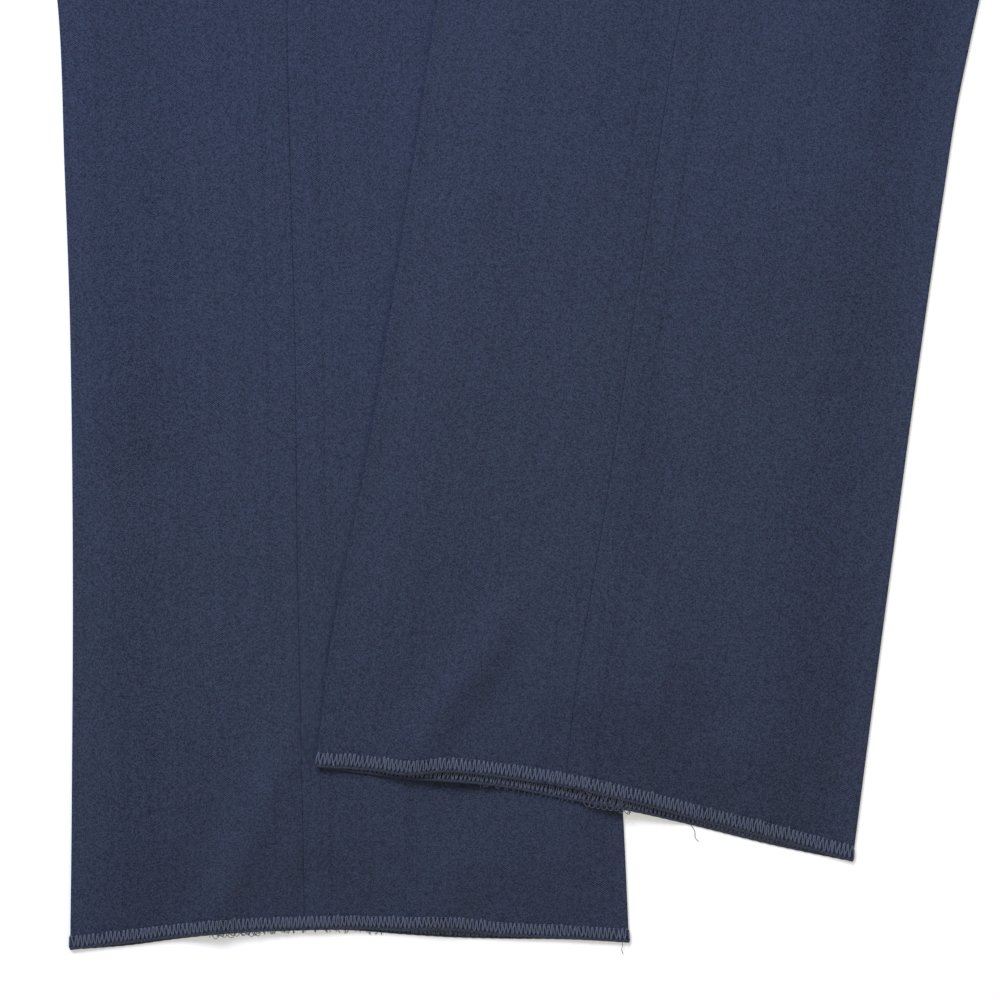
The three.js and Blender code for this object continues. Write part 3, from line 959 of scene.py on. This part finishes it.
def overlock(half, loops, rims):
    """The looper threads on both faces of a hem, the bead round its edge and the needle line."""
    whole = 2 * float(half.width(0.0))
    number = int(round(whole / STITCH))
    pitch = whole / number
    outer, inner = [], []
    off = THREAD * 0.7  # how far the thread's middle stands off the cloth
    sway = RANDOM.normal(0, 0.08, (number, len(LOOP)))
    slant = 0.16 * np.sin(np.linspace(0, 40, number)) + RANDOM.normal(0, 0.06, number)
    reach = 1 + RANDOM.normal(0, 0.045, number)
    for k in range(number):
        for point, (along, up) in enumerate(LOOP):
            t = (k + along + sway[k, point] + slant[k] * up) * pitch
            outer.append((t, up * reach[k] * BITE, -off))
            inner.append((t + 0.4 * pitch, up * reach[k] * BITE * 0.96, CLOTH + off))
    for path in (outer, inner):
        t, height, depth = np.array(path).T
        loops.add(half.points(height, t % whole, depth), THREAD)
    turns = np.linspace(0, 2 * math.pi * number * RIM_TURNS, number * 15)
    for phase in (0, math.pi):
        t = np.linspace(0, whole, len(turns)) % whole
        wave = turns + phase + 0.5 * np.sin(turns * 0.137)
        size = RIM * (0.62 + 0.08 * np.sin(turns * 0.31))
        height = 0.32 - size * 1.05 * np.sin(wave)
        rims.add(half.points(height, t, CLOTH / 2 + size * np.cos(wave)), RIM * 0.42, 4)
    for k in range(number):
        start = (k + 0.12) * pitch
        t = np.linspace(start, start + pitch * 0.72, len(NEEDLE_RISE))
        loops.add(half.points(np.full_like(t, BITE), t % whole, NEEDLE_RISE), NEEDLE_THREAD, 4)


def loose_thread(threads, points, radius=0.11, steps_between=6):
    """A loose thread through a few points of the layout, on a smooth curve."""
    points = np.array(points, float)
    way = np.arange(len(points), dtype=float)
    rows = {"way": way, "x": points[:, 0], "y": points[:, 1], "z": points[:, 2]}
    places = np.linspace(0, len(points) - 1, (len(points) - 1) * steps_between + 1)
    path = np.stack([value_at(rows, "way", axis, places) for axis in "xyz"], axis=-1)
    threads.add(path, radius, 4)


def from_edge(half, share, upper, points):
    """Layout points given from a place on a hem's edge: along it, down past it and up from it."""
    width = float(half.width(0.0))
    t = share * width if upper else (2 - share) * width
    edge = half.points(np.array([0.0]), np.array([t]), CLOTH / 2)[0]
    _, along, _ = half.line(np.array(0.0))
    down = np.array([along[1], -along[0]])
    return [
        (*(edge[:2] + along * x + down * y), max(edge[2] + z, 0.15))
        for x, y, z in points
    ]


CURL = (  # one loop, as points along the hem, down past it and up from it
    (-1.6, -2.6, 0.4),
    (-0.9, 0.6, 0.3),
    (0.4, 1.7, 0.1),
    (1.3, 0.5, 0.2),
    (0.6, -0.9, 0.4),
    (1.6, -2.2, 0.4),
)


def curls(threads, half, upper, start, end, number, least, most):
    """Slack loops of thread that hang from part of a hem."""
    for share in np.linspace(start, end, number):
        size = RANDOM.uniform(least, most)
        turn = RANDOM.uniform(-0.7, 0.7)
        sin, cos = math.sin(turn), math.cos(turn)
        points = [(size * (x * cos - y * sin), size * (x * sin + y * cos), z) for x, y, z in CURL]
        loose_thread(threads, from_edge(half, share, upper, points), 0.12)


def frayed_ends(threads, half, upper, start, end, number):
    """Short ends of cut yarn that stick out of part of a hem."""
    for share in np.linspace(start, end, number):
        share += RANDOM.normal(0, 0.003)
        x, y = RANDOM.normal(0, 0.5), RANDOM.uniform(0.5, 1.25)
        points = [(0, -0.6, 0), (x * 0.3, 0.3, 0.15), (x, y, 0.05)]
        loose_thread(threads, from_edge(half, share, upper, points), 0.13, 3)


hem_threads = {}
for side, half in (("right", right_half), ("left", left_half)):
    loops, rims = Threads(), Threads()
    overlock(half, loops, rims)
    hem_threads[side] = (loops, rims)

# Where thread hangs loose and the cloth frays, between two shares of the way across a hem
right_loops, right_rim = hem_threads["right"]
curls(right_loops, right_half, True, 0.262, 0.335, 7, 0.7, 1.15)
curls(right_loops, right_half, False, 0.27, 0.33, 4, 0.5, 0.8)
frayed_ends(right_rim, right_half, True, 0.25, 0.4, 30)
frayed_ends(right_rim, right_half, False, 0.32, 0.56, 30)
for share, points in (
    (0.987, [(0, -1, 0), (0.2, 1.2, 0), (-0.1, 2.8, -0.5), (0.4, 4.2, -1)]),
    (0.68, [(0.2, -0.8, 0), (0.1, 0.6, 0), (-0.1, 1.8, 0)]),
):
    loose_thread(right_loops, from_edge(right_half, share, True, points))
left_loops, left_rim = hem_threads["left"]
curls(left_loops, left_half, False, 0.5, 0.575, 8, 0.5, 1.0)
curls(left_loops, left_half, True, 0.5, 0.56, 3, 0.4, 0.8)
frayed_ends(left_rim, left_half, False, 0.3, 0.58, 44)
frayed_ends(left_rim, left_half, True, 0.42, 0.56, 14)
points = [(-1.5, -1, 0), (0.2, 0.6, 0), (1.4, 2.2, -0.3), (1.8, 4.0, -0.8), (3.2, 5.2, -1)]
loose_thread(left_loops, from_edge(left_half, 0.698, False, points))
for side, (loops, rims) in hem_threads.items():
    loops.make(f"{side}_hem_loops", HEM_THREAD)
    rims.make(f"{side}_hem_rim", RIM_THREAD_PAINTED_SHADE)


# Sewing on the seat and the waistband

FLY_EDGE = 36.0  # from the middle line to the straight part of the fly's stitches
FLY_FOOT = 88  # above the fork, where they start to turn
FLY_CURVE = 42  # and how much lower they end
FLY_STITCH = 2.6
FLY_GAP = 0.5  # between two stitches
FLY_THREAD = 0.22  # radius
FLY_DEPTH = np.array([0.2, -0.08, -0.14, -0.08, 0.2])  # depth in the cloth along a stitch
FLY_LIFT = 0.08  # how far the stitches stand out


def fly_stitches():
    """The J of stitches that holds the fly, from the waistband down and round to the middle line."""
    straight = [(left_half.length + rise, FLY_EDGE) for rise in np.linspace(RISE - 2, FLY_FOOT, 30)]
    curve = [
        (left_half.length + FLY_FOOT - FLY_CURVE * math.sin(angle), FLY_EDGE * math.cos(angle) + 1.5)
        for angle in np.linspace(0.05, math.pi / 2, 24)
    ]
    path = np.array(straight + curve, float)
    way = np.concatenate([[0], np.cumsum(np.linalg.norm(np.diff(path, axis=0), axis=1))])
    threads = Threads()
    for k in range(int(way[-1] // (FLY_STITCH + FLY_GAP))):
        start = k * (FLY_STITCH + FLY_GAP)
        at = np.linspace(start, start + FLY_STITCH, len(FLY_DEPTH))
        height = np.interp(at, way, path[:, 0])
        t = np.interp(at, way, path[:, 1])
        threads.add(left_half.points(height, t, FLY_DEPTH - FLY_LIFT), FLY_THREAD, 4)
    threads.make("fly_stitches", SEWING_THREAD)


BUTTON_PLACE = -13.0  # to the wearer's left of the fly line
BUTTON_RISE = RISE + BAND_HEIGHT / 2
BUTTON_TOP = 8.3
HOLE_REACH = 2.0  # from the button's middle to each of its four holes
BUTTONHOLE_THREAD = 0.24  # radius


def by_button(across, up, lift):
    """A point of the layout, by its way to the wearer's left of the button's middle, up, and off the tab."""
    flat = FORK + (BUTTON_RISE + up) * UP + (BUTTON_PLACE + across) * ACROSS
    return np.array([flat[0], flat[1], BAND_DEPTH + lift])


def buttonhole():
    """A close-worked buttonhole under the button, its far end at the shank."""
    threads = Threads()
    for side in (-1, 1):
        for x in np.arange(-19.0, 1.0, 0.55):
            path = [by_button(x + 10, side * y, z) for y, z in ((0.35, -0.1), (1.0, 0.22), (1.7, -0.1))]
            threads.add(path, BUTTONHOLE_THREAD, 4)
    for end, sign in ((-9.2, -1), (11.0, 1)):
        for angle in np.linspace(-1.2, 1.2, 7):
            path = [
                by_button(end + sign * math.cos(angle) * r, math.sin(angle) * r * 1.2, z)
                for r, z in ((0.2, -0.1), (0.9, 0.2), (1.5, -0.1))
            ]
            threads.add(path, BUTTONHOLE_THREAD, 4)
    threads.make("buttonhole_stitches", SEWING_THREAD)


def button_thread():
    """The shank below the button and two bars of thread across its four holes."""
    threads = Threads()
    for angle in np.linspace(0, 2 * math.pi, 10, endpoint=False):
        x, y = 1.1 * math.cos(angle), 1.1 * math.sin(angle)
        path = [by_button(x, y, z) for z in np.linspace(-0.2, 0.55, 4)]
        threads.add(path, 0.4, 5)
    reach = HOLE_REACH * math.sin(math.pi / 4)
    top = BUTTON_TOP - BAND_DEPTH
    for side in (-1, 1):
        for strand in np.linspace(-0.42, 0.42, 4):
            heights = np.array([-2.0, -0.5, 0.16, 0.26, 0.16, -0.5, -2.0]) + top
            ways = np.array([-1.0, -1.0, -0.75, 0, 0.75, 1.0, 1.0]) * reach
            path = [by_button(side * reach + strand, y, z) for y, z in zip(ways, heights)]
            threads.add(path, 0.2, 5)
    threads.make("button_thread", SEWING_THREAD)


def dress_button():
    """Gives the button, which is the solid itself, its look."""
    look = button_material()
    for slot in bpy.data.objects["button"].material_slots:
        slot.material = look


fly_stitches()
buttonhole()
button_thread()
dress_button()

# Stage, light and camera

def floor():
    """The pale table, lit a little from within so that it shows as white."""
    size = 6.0
    mesh = bpy.data.meshes.new("table_top")
    corners = [(-size, -size, 0), (size, -size, 0), (size, size, 0), (-size, size, 0)]
    mesh.from_pydata(corners, [], [(0, 1, 2, 3)])
    n = Nodes("pale_table")
    n.plain({
        "Base Color": (0.74, 0.74, 0.74, 1),
        "Emission Color": (1, 1, 1, 1),
        "Emission Strength": 0.27,
        "Roughness": 0.9,
        "Specular IOR Level": 0.0,
    })
    mesh.materials.append(n.material)
    top = bpy.data.objects.new("table_top", mesh)
    top.location.z = -0.0001
    bpy.context.collection.objects.link(top)


def area_light(name, place, target, size, power, colour):
    """A soft rectangular lamp that faces its target."""
    data = bpy.data.lights.new(name, "AREA")
    data.shape = "RECTANGLE"
    data.size, data.size_y = size
    data.energy = power
    data.color = colour
    lamp = bpy.data.objects.new(name, data)
    bpy.context.collection.objects.link(lamp)
    lamp.location = place
    way = np.array(target) - np.array(place)
    lamp.rotation_euler = Vector(way).to_track_quat("-Z", "Y").to_euler()


def world():
    """Even light from all round."""
    made = bpy.data.worlds.new("studio")
    bpy.context.scene.world = made
    made.use_nodes = True
    back = made.node_tree.nodes["Background"]
    back.inputs["Color"].default_value = (1.0, 1.0, 1.0, 1)
    back.inputs["Strength"].default_value = 0.34


PICTURE_WIDTH = 340 * MM
CAMERA_HEIGHT = 1.6
CAMERA_FOCUS = 1.0  # millimetres above the table, where the picture is as wide as PICTURE_WIDTH


def camera():
    """Looks straight down on the stretch that the photo shows."""
    data = bpy.data.cameras.new("camera")
    data.sensor_width = 36
    data.lens = 36 * CAMERA_HEIGHT / PICTURE_WIDTH
    made = bpy.data.objects.new("camera", data)
    centre = to_row([0, 0, CAMERA_FOCUS])
    made.location = (centre[0], centre[1], centre[2] + CAMERA_HEIGHT)
    bpy.context.collection.objects.link(made)
    bpy.context.scene.camera = made


floor()
world()
view_middle = to_row([0, 0, 0])
area_light("key", view_middle + (-1.0, 1.75, 1.9), view_middle, (1.4, 1.1), 78, (0.93, 0.98, 1.16))
area_light("fill", view_middle + (1.3, -0.7, 1.4), view_middle, (1.2, 0.8), 11, (1.0, 0.9, 0.68))
camera()
bpy.context.scene.view_settings.view_transform = "Standard"
